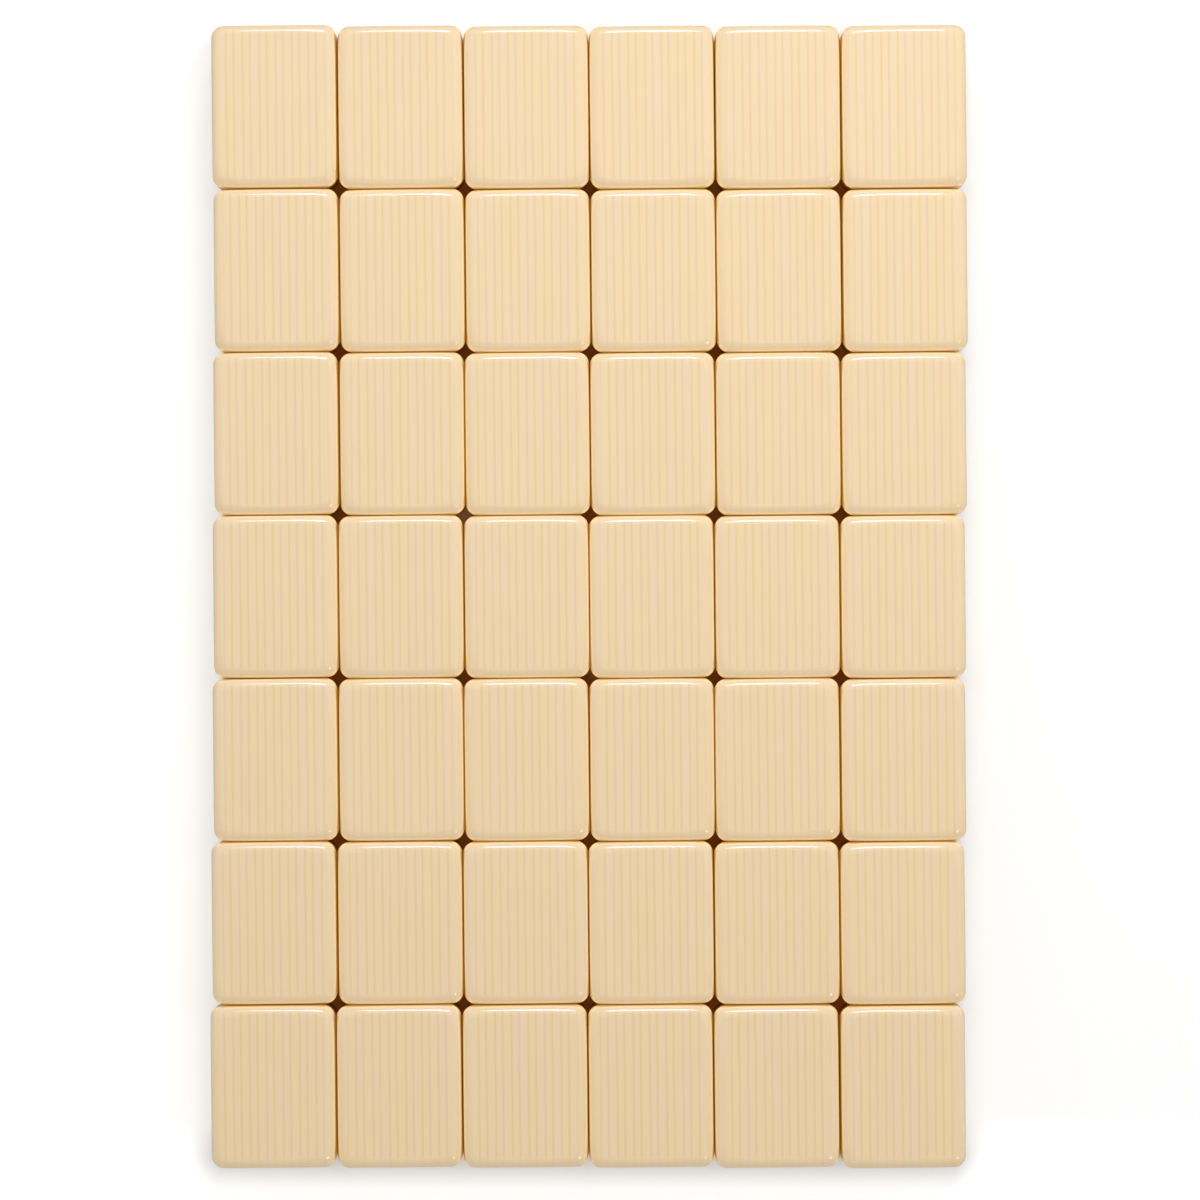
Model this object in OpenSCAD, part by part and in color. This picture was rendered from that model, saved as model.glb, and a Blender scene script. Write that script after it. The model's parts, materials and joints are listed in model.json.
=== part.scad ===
// A block of loose mahjong tiles, lying flat with their blank sides up.
// Each tile is one solid piece of cream plastic with rounded corners and edges.
// X runs along a row, Y from the nearest row to the farthest, and Z up from the table.
// The origin is the middle of the block, on the table.

/* [Tile] */
// Width of a tile, along X
tile_w = 23; // [18:0.5:34]
// Length of a tile, along Y
tile_l = 30; // [24:0.5:46]
// Thickness of a tile, from its underside to its blank side
tile_t = 15; // [10:0.5:26]
// Radius of the four upright corners, seen from above
corner_r = 2.2; // [2:0.1:4]
// Radius of the rounding round the blank side and round the underside
edge_r = 1.7; // [0.5:0.1:1.9]

/* [Block] */
// Tiles in a row
columns = 6; // [1:1:8]
// Rows of tiles
rows = 7; // [1:1:7]
// Mean seam between two tiles of a row
column_seam = 0.2; // [0.1:0.05:1]
// Mean seam between two rows
row_seam = 0.13; // [0.1:0.01:1]

/* [Hand-laid] */
// Turn of every tile, anticlockwise from above, in degrees
tile_turn = 0.6; // [0:0.1:1.5]
// How much more or less than that a tile may be turned, in degrees
turn_play = 0.04; // [0:0.01:0.1]

/* [Hidden] */
// Seam in the middle of the block, and what it gains at the block's corners, as shares of the mean seam
seam_middle_share = 0.7;
seam_gain_share = 0.7;
// How far a tile may be off its place, as a share of the mean seam
slip_play_share = 0.1;
// How far each row has slid along X, from the farthest row to the nearest, as shares of the column seam
row_slip_shares = [-0.3, 1.1, 0.7, 0, 0.1, -0.6, -1.1];
// Steps in degrees between the phases of neighbouring tiles, which scatter the slip and the turn
row_phase = 137;
column_phase = 211;

// Half the number of places from the middle of the block to its last column and its last row
last_column = (columns - 1) / 2;
last_row = (rows - 1) / 2;
corner_square = max(1, last_column * last_column + last_row * last_row);

$fn = 96;

function tile_name(row, column) = str("tile_r", row, "_c", column);

// Between -1 and 1, and different for each tile
function scatter(row, column, start) = sin(start + row * row_phase + column * column_phase);

// The seam beside a tile that lies so many columns and rows from the middle
function seam_at(seam, across, along) =
    seam * (seam_middle_share + seam_gain_share * (across * across + along * along) / corner_square);

function tile_x(row, column) =
    let (across = column - 1 - last_column, along = last_row + 1 - row)
    across * (tile_w + seam_at(column_seam, across, along))
        + column_seam * row_slip_shares[(row - 1) % len(row_slip_shares)]
        + column_seam * slip_play_share * scatter(row, column, 0);

function tile_y(row, column) =
    let (across = column - 1 - last_column, along = last_row + 1 - row)
    along * (tile_l + seam_at(row_seam, across, along))
        + row_seam * slip_play_share * scatter(row, column, 90);

function turn_of(row, column) = tile_turn + turn_play * scatter(row, column, 180);

// The middle of what all the tiles reach, which goes over the origin
all_x = [for (row = [1:rows], column = [1:columns]) tile_x(row, column)];
all_y = [for (row = [1:rows], column = [1:columns]) tile_y(row, column)];
block_middle = [(min(all_x) + max(all_x)) / 2, (min(all_y) + max(all_y)) / 2];

// Upright section through a tile, standing on the X axis
module rounded_section(width) {
    translate([-width / 2, edge_r]) square([width, tile_t - 2 * edge_r]);
    translate([edge_r - width / 2, 0]) square([width - 2 * edge_r, tile_t]);
    for (side = [-1, 1], height = [edge_r, tile_t - edge_r])
        translate([side * (width / 2 - edge_r), height]) circle(r = edge_r);
}

// One of a tile's four upright corners, as a round post
module corner_post() {
    rotate_extrude() intersection() {
        rounded_section(2 * corner_r);
        square([corner_r, tile_t]);
    }
}

// A tile standing on the origin, made of two bars that cross and four corner posts
module tile() {
    rotate([90, 0, 0])
        linear_extrude(height = tile_l - 2 * corner_r, center = true) rounded_section(tile_w);
    rotate([90, 0, 90])
        linear_extrude(height = tile_w - 2 * corner_r, center = true) rounded_section(tile_l);
    for (side = [-1, 1], end = [-1, 1])
        translate([side * (tile_w / 2 - corner_r), end * (tile_l / 2 - corner_r), 0]) corner_post();
}

module tile_in_block(row, column) {
    color([0.94, 0.84, 0.69])
        translate([tile_x(row, column) - block_middle[0], tile_y(row, column) - block_middle[1], 0])
            rotate(turn_of(row, column)) tile();
}

for (row = [1:rows], column = [1:columns])
    tile_in_block(row, column);
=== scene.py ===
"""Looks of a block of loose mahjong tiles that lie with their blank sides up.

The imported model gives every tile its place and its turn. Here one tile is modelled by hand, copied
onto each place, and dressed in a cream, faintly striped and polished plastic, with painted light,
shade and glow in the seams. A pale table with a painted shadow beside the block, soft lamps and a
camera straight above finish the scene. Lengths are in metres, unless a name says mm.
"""

import json
import logging
import math
import random
import re
from dataclasses import dataclass, field
from enum import Enum
from typing import Callable, Iterable

import bmesh
import bpy
from mathutils import Matrix, Vector

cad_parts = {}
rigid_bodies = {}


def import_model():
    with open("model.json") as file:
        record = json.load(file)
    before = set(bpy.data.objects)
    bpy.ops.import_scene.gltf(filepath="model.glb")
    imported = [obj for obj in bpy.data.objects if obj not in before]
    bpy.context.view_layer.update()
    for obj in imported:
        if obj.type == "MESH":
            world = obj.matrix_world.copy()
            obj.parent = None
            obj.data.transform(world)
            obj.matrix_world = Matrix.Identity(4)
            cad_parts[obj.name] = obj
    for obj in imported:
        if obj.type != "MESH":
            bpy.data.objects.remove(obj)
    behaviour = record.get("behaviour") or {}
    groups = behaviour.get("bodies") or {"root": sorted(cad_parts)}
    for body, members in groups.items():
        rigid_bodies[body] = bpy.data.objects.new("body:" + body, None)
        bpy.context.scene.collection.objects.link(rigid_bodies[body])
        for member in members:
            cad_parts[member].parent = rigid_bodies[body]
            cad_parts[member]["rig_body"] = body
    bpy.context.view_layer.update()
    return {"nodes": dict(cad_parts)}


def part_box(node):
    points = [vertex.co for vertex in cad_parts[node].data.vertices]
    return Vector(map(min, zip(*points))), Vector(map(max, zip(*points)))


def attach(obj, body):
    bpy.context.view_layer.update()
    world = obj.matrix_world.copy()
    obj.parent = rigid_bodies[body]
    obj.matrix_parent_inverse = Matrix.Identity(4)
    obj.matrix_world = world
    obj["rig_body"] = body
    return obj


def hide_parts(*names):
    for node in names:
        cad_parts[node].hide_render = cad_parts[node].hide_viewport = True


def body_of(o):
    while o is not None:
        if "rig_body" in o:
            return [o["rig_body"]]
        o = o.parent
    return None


log = logging.getLogger("tiles")

MM = 0.001
DIFFUSE_BOUNCES = 10
WHITE = (1.0, 1.0, 1.0, 1.0)
BLACK = (0.0, 0.0, 0.0, 1.0)

Colour = tuple[float, float, float, float]
Span = tuple[float, float]


class Blend(Enum):
    """How the Mix node lays one colour over another."""

    MIX = "MIX"
    MULTIPLY = "MULTIPLY"


class Rim(Enum):
    """The two flat sides of a tile, as the share of its thickness at which each one lies."""

    UNDERSIDE = 0.0
    BLANK_SIDE = 1.0


class Side(Enum):
    """A tile's four upright sides: the level way out of it, and the step in row and column beyond it."""

    RIGHT = ((1, 0), (0, 1))
    LEFT = ((-1, 0), (0, -1))
    FAR = ((0, 1), (-1, 0))
    NEAR = ((0, -1), (1, 0))

    def share(self, outward: Vector) -> float:
        """Says how much a level direction points out of this side, from 0 to 1."""
        way = self.value[0]
        return max(0.0, outward.x * way[0] + outward.y * way[1]) ** 2

    def beyond(self, name: str) -> str:
        """Names the tile that would lie beyond this side of another.

        Args:
            name: Name of that other tile.

        Returns:
            The name, whether or not the block has such a tile.
        """
        row, column = (int(number) for number in re.findall(r"\d+", name))
        rows, columns = self.value[1]
        return f"tile_r{row + rows}_c{column + columns}"


class LampShape(Enum):
    """Outline of a softbox."""

    RECTANGLE = "RECTANGLE"
    ELLIPSE = "ELLIPSE"


def linear(red: int, green: int, blue: int) -> Colour:
    """Turns a colour as a screen shows it into the linear one that a shader takes.

    Args:
        red: Red, from 0 to 255.
        green: Green, from 0 to 255.
        blue: Blue, from 0 to 255.

    Returns:
        The linear colour, with an alpha of 1.
    """
    parts = (part / 255.0 for part in (red, green, blue))
    return (*(p / 12.92 if p <= 0.04045 else ((p + 0.055) / 1.055) ** 2.4 for p in parts), 1.0)


def deselect_all() -> None:
    """Leaves nothing selected, because an operator acts on all that is."""
    if bpy.context.mode != "OBJECT":
        bpy.ops.object.mode_set(mode="OBJECT")
    bpy.ops.object.select_all(action="DESELECT")


class Graph:
    """A node tree that is filled through one method."""

    def __init__(self, tree: bpy.types.NodeTree) -> None:
        """Empties the tree.

        Args:
            tree: The node tree of a material or of the world.
        """
        self.tree = tree
        self.tree.nodes.clear()

    def add(self, kind: str, settings: dict | None = None, **sockets: object) -> bpy.types.Node:
        """Adds a node.

        Args:
            kind: The node's type, such as ShaderNodeMix.
            settings: The node's own settings, which are set before its sockets.
            **sockets: Value or link of each socket, named as the socket with _ for a space, or s and
                its number where names repeat.

        Returns:
            The new node.
        """
        node = self.tree.nodes.new(kind)
        for name, value in (settings or {}).items():
            setattr(node, name, value)
        for name, value in sockets.items():
            number = name[1:]
            into = node.inputs[int(number)] if number.isdigit() else node.inputs[name.replace("_", " ")]
            source = value.socket if isinstance(value, Value) else value
            if isinstance(source, bpy.types.NodeSocket):
                self.tree.links.new(source, into)
            else:
                into.default_value = source
        return node

    def value(self, kind: str, output: str, settings: dict | None = None, **sockets: object) -> "Value":
        """Adds a node and wraps one of its outputs.

        Args:
            kind: The node's type.
            output: Name of the output.
            settings: The node's own settings.
            **sockets: As for add.

        Returns:
            The output, ready for sums.
        """
        return Value(self, self.add(kind, settings, **sockets).outputs[output])

    def ramp(self, value: "Value", low: float, high: float) -> "Value":
        """Rises smoothly from 0 to 1 as a value goes from low to high.

        Args:
            value: The value that is read.
            low: Where the rise starts.
            high: Where it ends.

        Returns:
            The risen value.
        """
        settings = {"interpolation_type": "SMOOTHSTEP"}
        return self.value("ShaderNodeMapRange", "Result", settings, s0=value, s1=low, s2=high)

    def band(self, value: "Value", rise: Span, fall: Span) -> "Value":
        """Rises from 0 to 1 over one span of a value, and falls back over another."""
        return self.ramp(value, *rise) * (1.0 - self.ramp(value, *fall))

    def noise(self, where: "Value", scale: float, detail: float = 2.0) -> "Value":
        """Adds a noise between 0 and 1.

        Args:
            where: The place at which it is read.
            scale: Waves for each unit of that place.
            detail: Number of finer layers.

        Returns:
            The noise.
        """
        return self.value("ShaderNodeTexNoise", "Fac", Vector=where, Scale=scale, Detail=detail)

    def open_share(self, reach: float, samples: int = 6) -> "Value":
        """Says how much of the way out of a spot is free of anything near it.

        Args:
            reach: How far away something still counts as near.
            samples: Number of directions that are tried.

        Returns:
            1 where nothing is near, 0 where the spot is shut in on all sides.
        """
        return self.value("ShaderNodeAmbientOcclusion", "AO", {"samples": samples}, Distance=reach)

    def place(self, x: object, y: object, z: object) -> "Value":
        """Joins three numbers into a place."""
        return self.value("ShaderNodeCombineXYZ", "Vector", X=x, Y=y, Z=z)

    def mix(self, share: object, under: object, over: object, how: Blend = Blend.MIX) -> "Value":
        """Lays one colour over another.

        Args:
            share: How much of the upper colour shows.
            under: The lower colour.
            over: The upper colour.
            how: The way of laying it.

        Returns:
            The mixed colour.
        """
        settings = {"data_type": "RGBA", "blend_type": how.value}
        return Value(self, self.add("ShaderNodeMix", settings, s0=share, s6=under, s7=over).outputs[2])


class Value:
    """A shader number on which the usual operators work, each adding its Math node."""

    def __init__(self, graph: Graph, socket: bpy.types.NodeSocket) -> None:
        """Wraps an output.

        Args:
            graph: The graph that holds it.
            socket: The output.
        """
        self.graph = graph
        self.socket = socket

    def math(self, operation: str, *others: object) -> "Value":
        """Adds one Math node.

        Args:
            operation: The node's operation.
            *others: The further operands, in order.

        Returns:
            The result.
        """
        sockets = {f"s{place}": operand for place, operand in enumerate((self, *others))}
        return self.graph.value("ShaderNodeMath", "Value", {"operation": operation}, **sockets)

    def turned_round(self, operation: str, first: float) -> "Value":
        """Adds one Math node with a plain number as its first operand."""
        return self.graph.value("ShaderNodeMath", "Value", {"operation": operation}, s0=first, s1=self)

    def __add__(self, other: object) -> "Value":
        """Sum."""
        return self.math("ADD", other)

    def __radd__(self, other: float) -> "Value":
        """Sum with a number in front."""
        return self.math("ADD", other)

    def __sub__(self, other: object) -> "Value":
        """Difference."""
        return self.math("SUBTRACT", other)

    def __rsub__(self, other: float) -> "Value":
        """Difference from a number in front."""
        return self.turned_round("SUBTRACT", other)

    def __mul__(self, other: object) -> "Value":
        """Product."""
        return self.math("MULTIPLY", other)

    def __rmul__(self, other: float) -> "Value":
        """Product with a number in front."""
        return self.math("MULTIPLY", other)

    def __lt__(self, other: object) -> "Value":
        """1 where the value is the smaller one, else 0."""
        return self.math("LESS_THAN", other)

    def __abs__(self) -> "Value":
        """Size without sign."""
        return self.math("ABSOLUTE")

    def least(self, other: object) -> "Value":
        """The smaller of two."""
        return self.math("MINIMUM", other)

    def most(self, other: object) -> "Value":
        """The larger of two."""
        return self.math("MAXIMUM", other)

    def from_nearest(self, step: float) -> "Value":
        """How far the value is from the nearest multiple of a step."""
        return self.math("PINGPONG", step / 2)


@dataclass(frozen=True)
class TileSpot:
    """Where a shaded spot is on its own tile, in millimetres from the tile's middle.

    Attributes:
        x: Place across the tile.
        y: Place along the tile.
        z: Height.
        drop: Depth below the blank side, or height above the underside if that is less.
        draw: The tile's own random number, from 0 to 1.
        drawn: The place moved over by the draw, for patterns that differ from tile to tile.
    """

    x: Value
    y: Value
    z: Value
    drop: Value
    draw: Value
    drawn: Value


@dataclass(frozen=True)
class Grain:
    """A noise drawn out along the tile.

    Attributes:
        across: Waves for each millimetre across the tile.
        along: Waves for each millimetre along and down it.
        shift: How far the noise moves over as the tile's draw goes from 0 to 1.
        detail: Number of finer layers.
    """

    across: float
    along: float
    shift: float
    detail: float = 2.0

    def noise(self, graph: Graph, spot: TileSpot) -> Value:
        """Adds the noise.

        Args:
            graph: The material's graph.
            spot: Where the shaded spot is on its tile.

        Returns:
            The noise, between 0 and 1.
        """
        across = spot.x * self.across + self.shift * spot.draw
        where = graph.place(across, spot.y * self.along, spot.z * self.along)
        return graph.noise(where, 1.0, self.detail)


@dataclass(frozen=True)
class SeepingLight:
    """Painted light beside the next tile, for light that seeps out of the plastic: an amber tint of
    painted light, a dark painted shade deep in the gap, and a faint painted glow.

    Each span says where a ramp starts and ends. Those in millimetres are depths below the blank side,
    but height_mm is measured from the tile's middle.
    """

    gap_name: str = "tile_gap"
    # The amber is painted light on the seam flanks. The darker colour after it is painted shade deep in
    # the gap. The glows are painted glows of light in the seams and round the corners.
    amber: Colour = (0.99, 0.79, 0.46, 1.0)
    deep_amber: Colour = (0.50, 0.25, 0.03, 1.0)
    corner_glow: Colour = (0.34, 0.19, 0.07, 1.0)
    deep_glow: Colour = (0.08, 0.035, 0.0, 1.0)
    side_glow: Colour = (0.22, 0.115, 0.015, 1.0)
    end_glow: Colour = (0.11, 0.062, 0.0, 1.0)
    line_glow: Colour = (0.23, 0.15, 0.05, 1.0)
    reach: float = 2.6 * MM
    height_mm: Span = (-4.0, 0.0)
    hidden_near: Span = (0.15, 0.45)
    hidden_deep: Span = (0.5, 0.75)
    gap_at_corner: Span = (0.0, 0.3)
    gap_at_side: Span = (0.4, 0.9)
    corner_hidden: float = 0.1
    corner_drop_mm: float = 0.3
    corner_line_loss: float = 0.75
    amber_mm: Span = (0.4, 0.9)
    deep_mm: Span = (0.9, 1.35)
    open_wall_mm: Span = (1.5, 3.0)
    corner_mm: Span = (0.6, 1.1)
    corner_end_mm: Span = (1.7, 2.8)
    seam_mm: Span = (1.2, 2.2)
    seam_end_mm: Span = (3.0, 8.0)
    line_mm: Span = (0.35, 0.6)
    line_end_mm: Span = (0.85, 1.15)

    def tint_and_glow(self, graph: Graph, spot: TileSpot, colour: Value) -> tuple[Value, Value]:
        """Paints amber light and the dark shade of the deep gap over a colour, and works out the painted
        glow.

        Args:
            graph: The material's graph.
            spot: The spot on the tile.
            colour: The plastic's own colour.

        Returns:
            The colour with painted light and shade, and the colour of the painted glow.
        """
        drop = spot.drop
        hidden = (1.0 - graph.open_share(self.reach)) * graph.ramp(spot.z, *self.height_mm)
        gap = graph.value("ShaderNodeAttribute", "Fac", {"attribute_name": self.gap_name})
        corner = 1.0 - graph.ramp(gap, *self.gap_at_corner)
        near = graph.ramp(hidden + self.corner_hidden * corner, *self.hidden_near)
        shallow = near * graph.ramp(drop + self.corner_drop_mm * corner, *self.amber_mm)
        deep = near * gap * graph.ramp(drop, *self.deep_mm)
        # Painted light on the flanks, and painted shade deep in the gap.
        colour_with_painted_light = graph.mix(deep, graph.mix(shallow, colour, self.amber), self.deep_amber)

        open_wall = graph.ramp(drop, *self.open_wall_mm) * (1.0 - graph.ramp(hidden, *self.hidden_deep))
        shut_in = near * (1.0 - open_wall)
        by_corner = shut_in * corner * graph.band(drop, self.corner_mm, self.corner_end_mm)
        # Painted glows round the corners, in the seams and along the lit line.
        glow = graph.mix(deep, graph.mix(by_corner, BLACK, self.corner_glow), self.deep_glow)
        in_seam = shut_in * (1.0 - corner) * graph.band(drop, self.seam_mm, self.seam_end_mm)
        seam_glow = graph.mix(graph.ramp(gap, *self.gap_at_side), self.end_glow, self.side_glow)
        glow = graph.mix(in_seam, glow, seam_glow)
        lit_line = near * graph.band(drop, self.line_mm, self.line_end_mm)
        lit_line = lit_line * (1.0 - self.corner_line_loss * corner)
        return colour_with_painted_light, graph.mix(lit_line, glow, self.line_glow)


@dataclass(frozen=True)
class CreamPlastic:
    """The tiles' one material: cream plastic with faint darker lines along the tile, polished, with
    painted light, shade and glow beside the next tile.

    Each span says where a ramp starts and ends. Scales are waves or cells for each millimetre.
    """

    slot: str = "cream_tile"
    place_name: str = "tile_place"
    draw_name: str = "tile_draw"
    draw_shift_mm: Span = (61.0, 83.0)
    pale_layer: Colour = linear(242, 216, 180)
    yellow_layer: Colour = linear(242, 216, 173)
    layer_grain: Grain = Grain(0.55, 0.02, 53.0, 0.0)
    layer_span: Span = (0.35, 0.65)
    wide_layer_mm: float = 1.66
    narrow_layer_mm: float = 1.38
    line_tint: Colour = linear(249, 246, 234)
    line_core_mm: float = 0.04
    line_half_mm: float = 0.36
    line_shift_mm: float = 40.0
    line_wander_mm: float = 0.16
    wander_grain: Grain = Grain(0.35, 0.03, 47.0)
    line_least: float = 0.6
    line_play: float = 0.8
    line_grain: Grain = Grain(0.6, 0.05, 29.0)
    side_margin_mm: Span = (0.9, 2.8)
    near_margin_mm: Span = (1.1, 2.6)
    far_margin_mm: Span = (0.8, 1.5)
    margin_share: float = 0.25
    cloud_tint: Colour = linear(252, 250, 246)
    cloud_scale: float = 0.12
    cloud_strength: float = 0.5
    speck: Colour = linear(150, 112, 70)
    speck_scale: float = 0.22
    speck_edge: Span = (0.02, 0.045)
    speck_chance: float = 0.06
    speck_strength: float = 0.7
    index: float = 1.54
    roughness: float = 0.08
    roughness_play: float = 0.04
    roughness_scale: float = 0.8
    line_roughness: float = 0.03
    wave_scale: float = 0.3
    wave_height: float = 0.5
    line_depth: float = 0.05
    bump_depth: float = 0.01 * MM
    bump_strength: float = 0.5
    # Painted light, shade and glow beside the next tile.
    seeping: SeepingLight = SeepingLight()

    def spot(self, graph: Graph, tile: "MahjongTile") -> TileSpot:
        """Reads where the shaded spot is on its tile.

        Args:
            graph: The material's graph.
            tile: The tile, for its sizes.

        Returns:
            The spot.
        """
        own = graph.value("ShaderNodeAttribute", "Vector", {"attribute_name": self.place_name})
        draw = graph.value("ShaderNodeAttribute", "Fac", {"attribute_name": self.draw_name})
        parts = graph.add("ShaderNodeSeparateXYZ", Vector=own)
        x, y, z = (Value(graph, parts.outputs[axis]) for axis in "XYZ")
        shift_x, shift_y = self.draw_shift_mm
        drawn = graph.place(x + shift_x * draw, y + shift_y * draw, z)
        return TileSpot(x, y, z, tile.thickness / 2 / MM - abs(z), draw, drawn)

    def face_mask(self, graph: Graph, spot: TileSpot, tile: "MahjongTile") -> Value:
        """Says where the lines show: on the flat sides, and weakly on the two end walls.

        Args:
            graph: The material's graph.
            spot: The spot on the tile.
            tile: The tile, for its sizes.

        Returns:
            1 where the lines are full, 0 where there are none.
        """
        half_width, half_length = tile.width / 2 / MM, tile.length / 2 / MM
        off_sides = graph.ramp(half_width - abs(spot.x), *self.side_margin_mm)
        off_near_end = graph.ramp(spot.y + half_length, *self.near_margin_mm)
        off_far_end = graph.ramp(half_length - spot.y, *self.far_margin_mm)
        return off_sides * (self.margin_share + (1.0 - self.margin_share) * off_near_end * off_far_end)

    def lines(self, graph: Graph, spot: TileSpot, tile: "MahjongTile") -> Value:
        """Says how strong the darker lines between the layers are.

        Args:
            graph: The material's graph.
            spot: The spot on the tile.
            tile: The tile, for its sizes.

        Returns:
            The strength, 0 between the lines.
        """
        wander = (self.wander_grain.noise(graph, spot) - 0.5) * (2 * self.line_wander_mm)
        across = spot.x + self.line_shift_mm * spot.draw + wander
        period = self.wide_layer_mm + self.narrow_layer_mm
        nearest = across.from_nearest(period).least((across - self.wide_layer_mm).from_nearest(period))
        line = 1.0 - graph.ramp(nearest, self.line_core_mm, self.line_half_mm)
        strength = self.line_least + self.line_play * self.line_grain.noise(graph, spot)
        return line * strength * self.face_mask(graph, spot, tile)

    def layered_colour(self, graph: Graph, spot: TileSpot, line: Value) -> Value:
        """Mixes the plastic's own colour from its layers, lines and clouds.

        Args:
            graph: The material's graph.
            spot: The spot on the tile.
            line: Strength of the darker lines.

        Returns:
            The colour.
        """
        layer = graph.ramp(self.layer_grain.noise(graph, spot), *self.layer_span)
        colour = graph.mix(layer, self.yellow_layer, self.pale_layer)
        colour = graph.mix(line, colour, self.line_tint, Blend.MULTIPLY)
        cloud = self.cloud_strength * graph.noise(spot.drawn, self.cloud_scale)
        return graph.mix(cloud, colour, self.cloud_tint, Blend.MULTIPLY)

    def speckled(self, graph: Graph, spot: TileSpot, colour: Value) -> Value:
        """Scatters a few dark specks over a colour.

        Args:
            graph: The material's graph.
            spot: The spot on the tile.
            colour: The colour under them.

        Returns:
            The speckled colour.
        """
        cells = graph.add("ShaderNodeTexVoronoi", Vector=spot.drawn, Scale=self.speck_scale)
        luck = graph.value("ShaderNodeSeparateColor", "Red", Color=cells.outputs["Color"])
        inside = 1.0 - graph.ramp(Value(graph, cells.outputs["Distance"]), *self.speck_edge)
        return graph.mix(inside * (luck < self.speck_chance) * self.speck_strength, colour, self.speck)

    def material(self, tile: "MahjongTile") -> bpy.types.Material:
        """Makes the material.

        Args:
            tile: The tile, for its sizes.

        Returns:
            The new material.
        """
        made = bpy.data.materials.new("cream_plastic")
        made.use_nodes = True
        graph = Graph(made.node_tree)
        spot = self.spot(graph, tile)
        line = self.lines(graph, spot, tile)
        plain = self.layered_colour(graph, spot, line)
        # Paints light, shade and glow beside the next tile over the plastic's own colour.
        colour, glow = self.seeping.tint_and_glow(graph, spot, plain)
        roughness = self.roughness + self.roughness_play * graph.noise(spot.drawn, self.roughness_scale)
        height = graph.noise(spot.drawn, self.wave_scale, 1.0) * self.wave_height - line * self.line_depth
        depth, strength = self.bump_depth, self.bump_strength
        bump = graph.value("ShaderNodeBump", "Normal", Height=height, Distance=depth, Strength=strength)
        shader = graph.add(
            "ShaderNodeBsdfPrincipled",
            Base_Color=self.speckled(graph, spot, colour),
            Roughness=roughness + self.line_roughness * line,
            IOR=self.index,
            Emission_Color=glow,
            Emission_Strength=1.0,
            Normal=bump,
        )
        graph.add("ShaderNodeOutputMaterial", Surface=shader.outputs["BSDF"])
        return made


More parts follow.
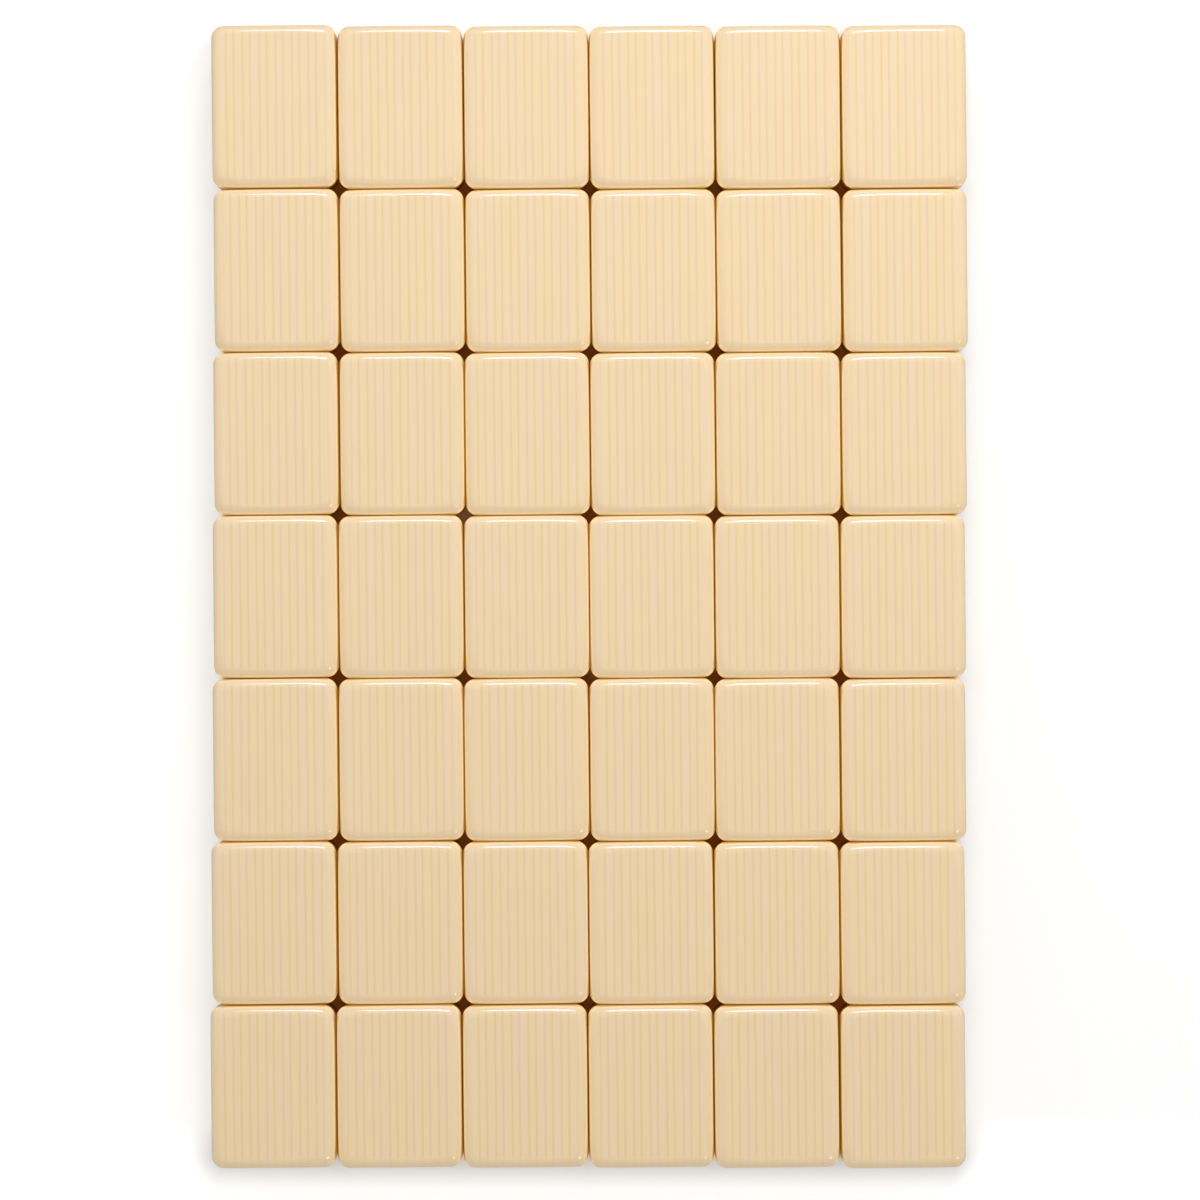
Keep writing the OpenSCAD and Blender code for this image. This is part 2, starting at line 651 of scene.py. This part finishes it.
@dataclass
class MahjongTile:
    """One tile, modelled lying at the origin with its blank side up."""

    width: float = 23 * MM
    length: float = 30 * MM
    thickness: float = 15 * MM
    corner_radius: float = 2.2 * MM
    edge_radius: float = 1.7 * MM
    corner_steps: int = 10
    edge_steps: int = 10
    rounding_gain: float = 0.27
    rounding_fade: float = 1.7 * MM
    loops_from_side: tuple[float, ...] = (2.2 * MM, 2.7 * MM, 3.4 * MM, 4.4 * MM, 6.0 * MM, 8.5 * MM)
    hair: float = 0.05 * MM
    rim_width: float = 0.11 * MM
    end_gap: float = 0.42
    gap_fade: float = 0.1 * MM
    normal_lift: float = 0.32
    lift_from: float = 0.2
    lift_rise: float = 0.25
    lift_fall: float = 0.3
    model: bpy.types.Object = field(init=False)

    def build(self) -> bpy.types.Object:
        """Models the tile, from a bare block to its smooth rounded form.

        Returns:
            The tile's object.
        """
        deselect_all()
        bpy.ops.mesh.primitive_cube_add(size=1.0)
        self.model = bpy.context.object
        self.model.name = "tile_model"
        bpy.ops.object.mode_set(mode="EDIT")
        bpy.ops.transform.resize(value=(self.width, self.length, self.thickness))
        bpy.ops.transform.translate(value=(0, 0, self.thickness / 2))
        self.round_upright_corners()
        self.add_loops_by_the_corners()
        for rim in Rim:
            self.round_rim(rim)
        bpy.ops.object.mode_set(mode="OBJECT")
        self.fill_out_rounding()
        self.smooth()
        log.info("tile model: %d faces", len(self.model.data.polygons))
        return self.model

    def select_edges(self, wanted: Callable[[Vector, Vector], bool]) -> None:
        """Selects edges in edit mode by where their ends are.

        Args:
            wanted: Test on an edge's two ends.
        """
        bpy.ops.mesh.select_mode(type="EDGE")
        bpy.ops.mesh.select_all(action="DESELECT")
        mesh = bmesh.from_edit_mesh(self.model.data)
        for edge in mesh.edges:
            edge.select_set(wanted(*(vertex.co for vertex in edge.verts)))
        bmesh.update_edit_mesh(self.model.data)

    def round_upright_corners(self) -> None:
        """Rounds the four upright corners."""
        self.select_edges(lambda a, b: abs(a.z - b.z) > self.thickness / 2)
        bpy.ops.mesh.bevel(
            offset=self.corner_radius,
            segments=self.corner_steps,
            profile=0.5,
            affect="EDGES",
            face_strength_mode="ALL",
        )

    def add_loops_by_the_corners(self) -> None:
        """Cuts extra loops where the rounding grows towards the corners."""
        for axis, size in ((Vector((1, 0, 0)), self.width), (Vector((0, 1, 0)), self.length)):
            for from_side in self.loops_from_side:
                for side in (-1, 1):
                    bpy.ops.mesh.select_all(action="SELECT")
                    bpy.ops.mesh.bisect(plane_co=axis * side * (size / 2 - from_side), plane_no=axis)

    def inset(self, place: Vector) -> float:
        """Measures how far a place lies inside the outline seen from above.

        Args:
            place: A place on the tile.

        Returns:
            The distance to the outline, which is negative outside it.
        """
        across, along = self.past_corner(place)
        outside = math.hypot(max(across, 0.0), max(along, 0.0))
        return self.corner_radius - outside - min(max(across, along), 0.0)

    def past_corner(self, place: Vector) -> tuple[float, float]:
        """Measures how far a place is past the centre of the nearest upright corner.

        Args:
            place: A place on the tile.

        Returns:
            The distance across the tile and the one along it, each negative short of that centre.
        """
        return (
            abs(place.x) - self.width / 2 + self.corner_radius,
            abs(place.y) - self.length / 2 + self.corner_radius,
        )

    def round_rim(self, rim: Rim) -> None:
        """Rounds the edge round one flat side.

        Args:
            rim: Which flat side.
        """
        level = rim.value * self.thickness

        def on_rim(a: Vector, b: Vector) -> bool:
            """Says whether an edge runs along the rim."""
            level_off = max(abs(a.z - level), abs(b.z - level))
            return level_off < self.hair and self.inset((a + b) / 2) < self.rim_width

        self.select_edges(on_rim)
        bpy.ops.mesh.bevel(
            offset=self.edge_radius,
            segments=self.edge_steps,
            profile=0.5,
            affect="EDGES",
            clamp_overlap=False,
            loop_slide=True,
            face_strength_mode="ALL",
        )

    def outward(self, place: Vector) -> Vector:
        """Finds the level direction from a place to the nearest side.

        Args:
            place: A place on the tile.

        Returns:
            The direction, of length 1. Round a corner it fans out from the corner's centre.
        """
        across, along = self.past_corner(place)
        if across > 0 and along > 0:
            level = Vector((math.copysign(across, place.x), math.copysign(along, place.y), 0))
        elif across > along:
            level = Vector((math.copysign(1, place.x), 0, 0))
        else:
            level = Vector((0, math.copysign(1, place.y), 0))
        return level.normalized()

    def gap_beside(self, place: Vector) -> float:
        """Says how dark the painted shade of the gap beside a place is.

        Args:
            place: A place on the tile.

        Returns:
            1 by the sides, less by the ends, and fading to nothing round a corner.
        """
        across, along = self.past_corner(place)
        by_side = 1.0 if across > along else self.end_gap
        if across <= 0 or along <= 0:
            return by_side
        receded = self.corner_radius * (1 - max(across, along) / math.hypot(across, along))
        return by_side * math.exp(-receded / self.gap_fade)

    def lift_normals(self, mesh: bpy.types.Mesh, shares: list[float]) -> None:
        """Tilts the normals low on the rounding away from the wall, where light seeps through the plastic.

        Args:
            mesh: The mesh of a laid tile.
            shares: How much of a neighbour each vertex faces, in the order of the vertices.
        """
        middle = self.thickness / 2
        normals = []
        for corner, loop in zip(mesh.corner_normals, mesh.loops):
            place = mesh.vertices[loop.vertex_index].co
            low = (middle - abs(place.z - middle)) / self.edge_radius
            rising, falling = (low - self.lift_from) / self.lift_rise, (1 - low) / self.lift_fall
            on_rounding = max(0.0, min(1.0, rising, falling))
            up = Vector((0, 0, math.copysign(1, place.z - middle)))
            lifted = corner.vector.lerp(up, self.normal_lift * on_rounding * shares[loop.vertex_index])
            normals.append(lifted.normalized())
        mesh.normals_split_custom_set(normals)

    def fill_out_rounding(self) -> None:
        """Lets the rounding of the edges grow towards the corners, as polishing leaves it."""
        middle = self.thickness / 2
        moves = []
        for vertex in self.model.data.vertices:
            place = vertex.co.copy()
            inset = self.inset(place)
            drop = middle - abs(place.z - middle)
            if inset > self.edge_radius + self.hair or drop > self.edge_radius + self.hair:
                continue
            from_corner = max(0.0, -min(self.past_corner(place)))
            gain = self.rounding_gain * math.exp(-from_corner / self.rounding_fade)
            to_middle = math.copysign(drop * gain, middle - place.z)
            moves.append((vertex, place - self.outward(place) * inset * gain + Vector((0, 0, to_middle))))
        for vertex, place in moves:
            vertex.co = place

    def smooth(self) -> None:
        """Shades the tile smooth while its flat sides stay flat."""
        deselect_all()
        self.model.select_set(True)
        bpy.context.view_layer.objects.active = self.model
        bpy.ops.object.shade_smooth()
        weighted = self.model.modifiers.new("flat_sides", "WEIGHTED_NORMAL")
        weighted.use_face_influence = True
        bpy.ops.object.modifier_apply(modifier=weighted.name)

    def note_places(self, place_name: str, gap_name: str) -> None:
        """Writes into attributes where each vertex is on the tile, and how dark the painted gap shade
        beside it is.

        Args:
            place_name: Name of the attribute for the place, in millimetres.
            gap_name: Name of the attribute for the painted gap shade.
        """
        mesh = self.model.data
        places = [vertex.co.copy() for vertex in mesh.vertices]
        for place, entry in zip(places, mesh.attributes.new(place_name, "FLOAT_VECTOR", "POINT").data):
            entry.vector = (place - Vector((0, 0, self.thickness / 2))) / MM
        for place, entry in zip(places, mesh.attributes.new(gap_name, "FLOAT", "POINT").data):
            entry.value = self.gap_beside(place)


@dataclass
class TileBlock:
    """All the tiles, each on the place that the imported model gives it."""

    tile: MahjongTile = field(default_factory=MahjongTile)
    # The plastic, with painted light, shade and glow beside the next tile.
    finish: CreamPlastic = field(default_factory=CreamPlastic)
    seed: int = 42
    facing: float = 0.9

    def build(self, nodes: dict[str, bpy.types.Object]) -> list[bpy.types.Object]:
        """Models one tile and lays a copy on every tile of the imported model.

        Args:
            nodes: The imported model's nodes by name.

        Returns:
            The laid tiles.
        """
        model = self.tile.build()
        self.tile.note_places(self.finish.place_name, self.finish.seeping.gap_name)
        model.data.materials.append(self.finish.material(self.tile))
        draws = random.Random(self.seed)
        laid = [self.lay(node, nodes, draws.random()) for _, node in sorted(nodes.items())]
        bpy.data.objects.remove(model)
        return laid

    def turn_of(self, node: bpy.types.Object) -> float:
        """Reads how far a packed tile is turned, from its largest wall that faces +X.

        Args:
            node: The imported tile.

        Returns:
            The turn, anticlockwise from above, in radians.
        """
        walls = (face for face in node.data.polygons if face.normal.x > self.facing)
        wall = max(walls, key=lambda face: face.area)
        return math.atan2(wall.normal.y, wall.normal.x)

    @staticmethod
    def write(mesh: bpy.types.Mesh, name: str, numbers: Iterable[float]) -> None:
        """Writes one number for each vertex into an attribute.

        Args:
            mesh: The mesh.
            name: Name of the attribute.
            numbers: The numbers, in the order of the vertices.
        """
        for entry, number in zip(mesh.attributes.new(name, "FLOAT", "POINT").data, numbers):
            entry.value = number

    def lay(
        self, node: bpy.types.Object, nodes: dict[str, bpy.types.Object], draw: float
    ) -> bpy.types.Object:
        """Puts a copy of the tile where a packed tile is, and lets it stand for that one.

        Args:
            node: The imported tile.
            nodes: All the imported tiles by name.
            draw: A number from 0 to 1 that makes this tile's lines its own.

        Returns:
            The laid tile.
        """
        lowest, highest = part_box(node.name)
        middle = (lowest + highest) / 2
        laid = self.tile.model.copy()
        laid.data = self.tile.model.data.copy()
        laid.name = laid.data.name = f"cream_{node.name}"
        bpy.context.scene.collection.objects.link(laid)
        sides = [side for side in Side if side.beyond(node.name) in nodes]
        places = [vertex.co.copy() for vertex in laid.data.vertices]
        shares = [sum(side.share(self.tile.outward(place)) for side in sides) for place in places]
        self.tile.lift_normals(laid.data, shares)
        self.write(laid.data, self.finish.draw_name, (draw for _ in places))
        place = Matrix.Translation((middle.x, middle.y, lowest.z))
        laid.data.transform(place @ Matrix.Rotation(self.turn_of(node), 4, "Z"))
        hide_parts(node.name)
        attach(laid, body_of(node)[0])
        log.info("%s laid at %.2f, %.2f mm", laid.name, middle.x / MM, middle.y / MM)
        return laid


@dataclass
class Table:
    """The pale table top under the tiles, with brown painted shade and amber painted light where tiles
    shut it in.

    A camera sees it glow, a little less beside the block, which paints the block's shadow there. The
    glows are brightnesses, and each span says where a ramp starts and ends.
    """

    side: float = 6.0
    depth: float = 0.03
    edge_radius: float = 6.0 * MM
    edge_steps: int = 3
    clearance: float = 0.02 * MM
    footprint: tuple[float, float] = (135.6 * MM, 206.9 * MM)
    roughness: float = 0.9
    paint: float = 0.6
    under_paint: Colour = (0.35, 0.14, 0.03, 1.0)
    under_glow: Colour = linear(76, 36, 6)
    bare_glow: Colour = linear(106, 74, 50)
    bare_scale: float = 40.0
    bare_span: Span = (0.55, 0.75)
    tile_reach: float = 14.0 * MM
    reach_samples: int = 8
    hidden_by_wall: Span = (0.02, 0.12)
    open_when_lifted: Span = (0.2, 0.45)
    foot_span: Span = (0.0, 1.0 * MM)
    left_glow: float = 0.488
    right_glow: float = 0.41
    side_gain: float = 0.04
    side_span: Span = (2.2 * MM, 6.6 * MM)
    near_glow: float = 0.28
    clear_glow: float = 0.62
    near_span: Span = (1.2 * MM, 7.7 * MM)
    near_side_span: Span = (-2.4 * MM, 7.7 * MM)
    far_glow: float = 0.93
    far_span: Span = (0.05, 1.0)

    def build(self) -> bpy.types.Object:
        """Models the table top.

        Returns:
            The table top's object.
        """
        deselect_all()
        bpy.ops.mesh.primitive_plane_add(size=self.side, location=(0, 0, -self.clearance))
        top = bpy.context.object
        top.name = "table_top"
        bpy.ops.object.transform_apply(location=True, rotation=True, scale=True)
        bpy.ops.object.mode_set(mode="EDIT")
        bpy.ops.mesh.select_all(action="SELECT")
        bpy.ops.mesh.extrude_region_move(TRANSFORM_OT_translate={"value": (0, 0, -self.depth)})
        bpy.ops.mesh.select_all(action="SELECT")
        bpy.ops.mesh.normals_make_consistent(inside=False)
        bpy.ops.mesh.bevel(offset=self.edge_radius, segments=self.edge_steps, affect="EDGES")
        bpy.ops.object.mode_set(mode="OBJECT")
        top.data.materials.append(self.material())
        log.info("table top: %.1f m square", self.side)
        return top

    def pale_glow(self, graph: Graph, x: Value, y: Value, beside: Value, open_share: Value) -> Value:
        """Works out how brightly a camera sees the bare table glow, with the block's painted shadow.

        Args:
            graph: The material's graph.
            x: Place across the block.
            y: Place along the block.
            beside: How far the place is outside the block's footprint.
            open_share: How much of the way out of the place is free of tiles.

        Returns:
            The brightness, where 1 is white.
        """
        half_width, half_length = (size / 2 for size in self.footprint)
        # Painted shadow of the block: dimmer close beside it, most on its near side, and dimmer on the
        # right than on the left.
        near_side = 1.0 - graph.ramp(y + half_length, *self.near_side_span)
        no_wall = 1.0 - graph.ramp(1.0 - open_share, *self.hidden_by_wall)
        clear = graph.ramp(beside, *self.near_span).most(no_wall)
        near = self.near_glow + (self.clear_glow - self.near_glow) * clear
        to_right = graph.ramp(x, -half_width, half_width)
        side = self.left_glow + to_right * (self.right_glow - self.left_glow)
        side = side + self.side_gain * graph.ramp(beside, *self.side_span)
        glow = side + near_side * (near - side)
        return glow + (self.far_glow - glow) * graph.ramp(beside, *self.far_span)

    def material(self) -> bpy.types.Material:
        """Makes the table's white with the block's painted shadow, and the brown painted shade and light
        where tiles shut it in.

        Returns:
            The new material.
        """
        made = bpy.data.materials.new("table_white")
        made.use_nodes = True
        graph = Graph(made.node_tree)
        spot = graph.value("ShaderNodeTexCoord", "Object")
        parts = graph.add("ShaderNodeSeparateXYZ", Vector=spot)
        x, y = (Value(graph, parts.outputs[axis]) for axis in "XY")
        past_x, past_y = ((abs(way) - size / 2).most(0.0) for way, size in zip((x, y), self.footprint))
        beside = (past_x * past_x + past_y * past_y).math("SQRT")
        open_share = graph.open_share(self.tile_reach, self.reach_samples)
        glow = self.pale_glow(graph, x, y, beside, open_share)
        grey = graph.value("ShaderNodeCombineColor", "Color", Red=glow, Green=glow, Blue=glow)
        # Brown painted shade and light in the holes and seams that tiles shut in, paler in patches.
        bare = graph.ramp(graph.noise(spot, self.bare_scale), *self.bare_span)
        under = graph.mix(bare, self.under_glow, self.bare_glow)
        lifted = graph.ramp(open_share, *self.open_when_lifted)
        pale = graph.ramp(beside, *self.foot_span).most(lifted)
        paint = (self.paint, self.paint, self.paint, 1.0)
        seen = graph.value("ShaderNodeLightPath", "Is Camera Ray")
        # The brown base colour where tiles shut the table in is painted shade too.
        shader = graph.add(
            "ShaderNodeBsdfPrincipled",
            Base_Color=graph.mix(pale, self.under_paint, paint),
            Roughness=self.roughness,
            Specular_IOR_Level=0.0,
            Emission_Color=graph.mix(seen, BLACK, graph.mix(pale, under, grey)),
            Emission_Strength=1.0,
        )
        graph.add("ShaderNodeOutputMaterial", Surface=shader.outputs["BSDF"])
        return made


@dataclass(frozen=True)
class Softbox:
    """A soft lamp aimed at the middle of the block.

    Attributes:
        name: The lamp's name.
        away: Its distance from the middle of the block.
        from_zenith: Its angle from straight up, in degrees.
        bearing: Its level direction, anticlockwise from +X, in degrees.
        size: Width and height of its lit face.
        radiance: Brightness of that face.
        shape: Outline of that face.
        in_polish: Whether polished surfaces mirror it.
        in_paint: Whether it lights the colours.
        colour: Colour of its light.
    """

    name: str
    away: float
    from_zenith: float
    bearing: float
    size: tuple[float, float]
    radiance: float
    shape: LampShape
    in_polish: bool = True
    in_paint: bool = True
    colour: tuple[float, float, float] = (1.0, 1.0, 1.0)

    def build(self) -> bpy.types.Object:
        """Hangs the lamp.

        Returns:
            The lamp's object.
        """
        lamp = bpy.data.lights.new(self.name, "AREA")
        lamp.shape = self.shape.value
        lamp.size, lamp.size_y = self.size
        area = self.size[0] * self.size[1] * (math.pi / 4 if self.shape is LampShape.ELLIPSE else 1)
        lamp.energy = self.radiance * math.pi * area
        lamp.color = self.colour
        hung = bpy.data.objects.new(self.name, lamp)
        bpy.context.scene.collection.objects.link(hung)
        zenith, bearing = math.radians(self.from_zenith), math.radians(self.bearing)
        level = math.sin(zenith)
        way = Vector((level * math.cos(bearing), level * math.sin(bearing), math.cos(zenith)))
        hung.location = way * self.away
        hung.rotation_euler = way.to_track_quat("Z", "Y").to_euler()
        hung.visible_camera = False
        hung.visible_glossy = self.in_polish
        hung.visible_diffuse = self.in_paint
        log.info("%s: %.2f W", self.name, lamp.energy)
        return hung


@dataclass
class Studio:
    """The room round the tiles: its light, its lamps, its table and its camera."""

    room_light: float = 0.575
    near_reflection: float = 0.25
    far_reflection: float = 1.3
    low_reflection: float = 0.55
    turning_point: float = 0.12
    low_to: float = 0.3
    lens_mm: float = 240.0
    sensor_mm: float = 36.0
    frame_width: float = 221.5 * MM
    block_height: float = 15 * MM
    aim: tuple[float, float] = (2.0 * MM, -0.63 * MM)
    clip_shares: tuple[float, float] = (0.01, 20.0)
    lamps: tuple[Softbox, ...] = (
        Softbox(
            "far_strip", 2.7, 53.0, 89.4, (0.58, 0.81), 14.0, LampShape.ELLIPSE, in_paint=False,
            colour=(0.55, 0.62, 1.0),
        ),
        Softbox("far_fill", 0.9, 53.0, 89.4, (0.26, 0.30), 9.0, LampShape.ELLIPSE, in_polish=False),
        Softbox("glint", 0.9, 44.0, -42.0, (0.36, 0.16), 9.0, LampShape.ELLIPSE, in_paint=False),
        Softbox("overhead_fill", 0.45, 30.0, 60.0, (0.2, 0.2), 4.5, LampShape.ELLIPSE, in_polish=False),
        Softbox("near_fill", 0.9, 72.0, -90.0, (0.8, 0.3), 1.5, LampShape.RECTANGLE, in_polish=False),
        Softbox("left_fill", 0.9, 78.0, 180.0, (0.8, 0.3), 1.3, LampShape.RECTANGLE, in_polish=False),
        Softbox("right_fill", 0.9, 78.0, 0.0, (0.8, 0.3), 1.6, LampShape.RECTANGLE, in_polish=False),
    )

    def build(self) -> None:
        """Lights the room and puts the table, the lamps and the camera in it."""
        self.light_room()
        Table().build()
        for lamp in self.lamps:
            lamp.build()
        self.place_camera()

    def light_room(self) -> None:
        """Fills the room with even light, which the camera sees as white.

        Polished surfaces mirror a room that is brighter on the far side and darker low down.
        """
        world = bpy.data.worlds.new("room")
        world.use_nodes = True
        graph = Graph(world.node_tree)
        paths = graph.add("ShaderNodeLightPath").outputs
        seen, glossy, through = (
            Value(graph, paths[f"Is {kind} Ray"]) for kind in ("Camera", "Glossy", "Transmission")
        )
        way = graph.add("ShaderNodeTexCoord").outputs["Generated"]
        parts = graph.add("ShaderNodeSeparateXYZ", Vector=way).outputs
        far, up = (Value(graph, parts[axis]) for axis in "YZ")
        far_side = graph.ramp(far, -self.turning_point, self.turning_point)
        reflected = self.near_reflection + (self.far_reflection - self.near_reflection) * far_side
        high = graph.ramp(up, 0.0, self.low_to)
        reflected = reflected * (self.low_reflection + (1.0 - self.low_reflection) * high)
        unseen = (1.0 - seen.most(through)) * (1.0 - glossy)
        strength = seen.most(through) + glossy * reflected + self.room_light * unseen
        background = graph.add("ShaderNodeBackground", Color=WHITE, Strength=strength)
        graph.add("ShaderNodeOutputWorld", Surface=background.outputs["Background"])
        bpy.context.scene.world = world

    def place_camera(self) -> bpy.types.Object:
        """Hangs the camera straight above the block, as the photograph was taken.

        Returns:
            The camera's object.
        """
        camera = bpy.data.cameras.new("camera")
        camera.lens, camera.sensor_width = self.lens_mm, self.sensor_mm
        above = self.frame_width * self.lens_mm / self.sensor_mm
        camera.clip_start, camera.clip_end = (above * share for share in self.clip_shares)
        hung = bpy.data.objects.new("camera", camera)
        bpy.context.scene.collection.objects.link(hung)
        hung.location = (*self.aim, self.block_height + above)
        bpy.context.scene.camera = hung
        log.info("camera %.3f m above the tiles", above)
        return hung


def main() -> None:
    """Builds the scene in order and reports each piece."""
    logging.basicConfig(level=logging.INFO, format="%(name)s: %(message)s")
    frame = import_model()
    laid = TileBlock().build(frame["nodes"])
    log.info("%d tiles laid", len(laid))
    Studio().build()
    bpy.context.scene.view_settings.view_transform = "Standard"
    bpy.context.scene.cycles.diffuse_bounces = DIFFUSE_BOUNCES


if __name__ == "__main__":
    main()
